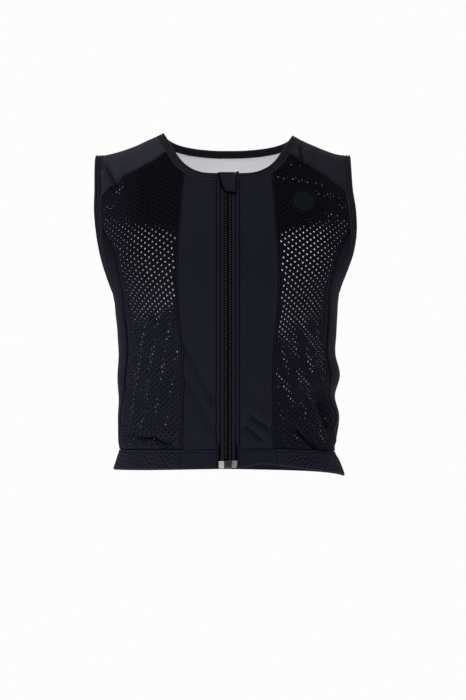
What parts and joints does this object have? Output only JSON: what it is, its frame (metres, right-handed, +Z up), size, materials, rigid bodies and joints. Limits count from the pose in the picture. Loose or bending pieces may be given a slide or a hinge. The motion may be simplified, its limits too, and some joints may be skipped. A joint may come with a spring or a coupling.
{
  "type": "equestrian body protector",
  "caption": "Close sleeveless vest with a full-length front zip, perforated mesh chest panels, cloth yokes and sides, sewn bindings and a padded back.",
  "frame": {"origin": "midway between the shoulders at the height where the vest rests on them, on the line of the shoulder ridges", "axes": "+Z up along the zip, -Y to the front of the vest, +X towards the wearer's left"},
  "size_m": [0.3704, 0.2497, 0.4813],
  "materials": {
    "stretch_cloth": "smooth knitted stretch cloth, blue-black",
    "air_mesh": "perforated warp-knitted air mesh, matt blue-black",
    "yoke_cloth": "smooth woven cloth with a slight sheen, charcoal",
    "binding": "coverstitched stretch binding, black",
    "zip_tape": "woven zip tape, black",
    "zip_coil": "moulded coil teeth, black",
    "zip_metal": "dark bronze",
    "zip_film": "clear end film over the tape, pale grey",
    "badge_rubber": "plain moulded badge, black"
  },
  "bodies": {
    "root": {"front_panel_left": "stretch_cloth", "front_panel_right": "stretch_cloth", "mesh_panel_left": "air_mesh", "mesh_panel_right": "air_mesh", "side_panel_left": "stretch_cloth", "side_panel_right": "stretch_cloth", "shoulder_yoke_left": "yoke_cloth", "shoulder_yoke_right": "yoke_cloth", "back_panel": "stretch_cloth", "neck_binding": "binding", "armhole_binding_left": "binding", "armhole_binding_right": "binding", "front_hem_left": "stretch_cloth", "front_hem_right": "stretch_cloth", "mesh_hem_left": "air_mesh", "mesh_hem_right": "air_mesh", "back_hem": "stretch_cloth", "zip_tape_left": "zip_tape", "zip_tape_right": "zip_tape", "zip_welt_left": "stretch_cloth", "zip_welt_right": "stretch_cloth", "zip_end_tab_left": "zip_film", "zip_end_tab_right": "zip_film", "zip_chain": "zip_coil", "zip_box": "zip_metal", "zip_slider": "zip_metal", "zip_garage": "stretch_cloth", "chest_badge": "badge_rubber"}
  },
  "joints": []
}
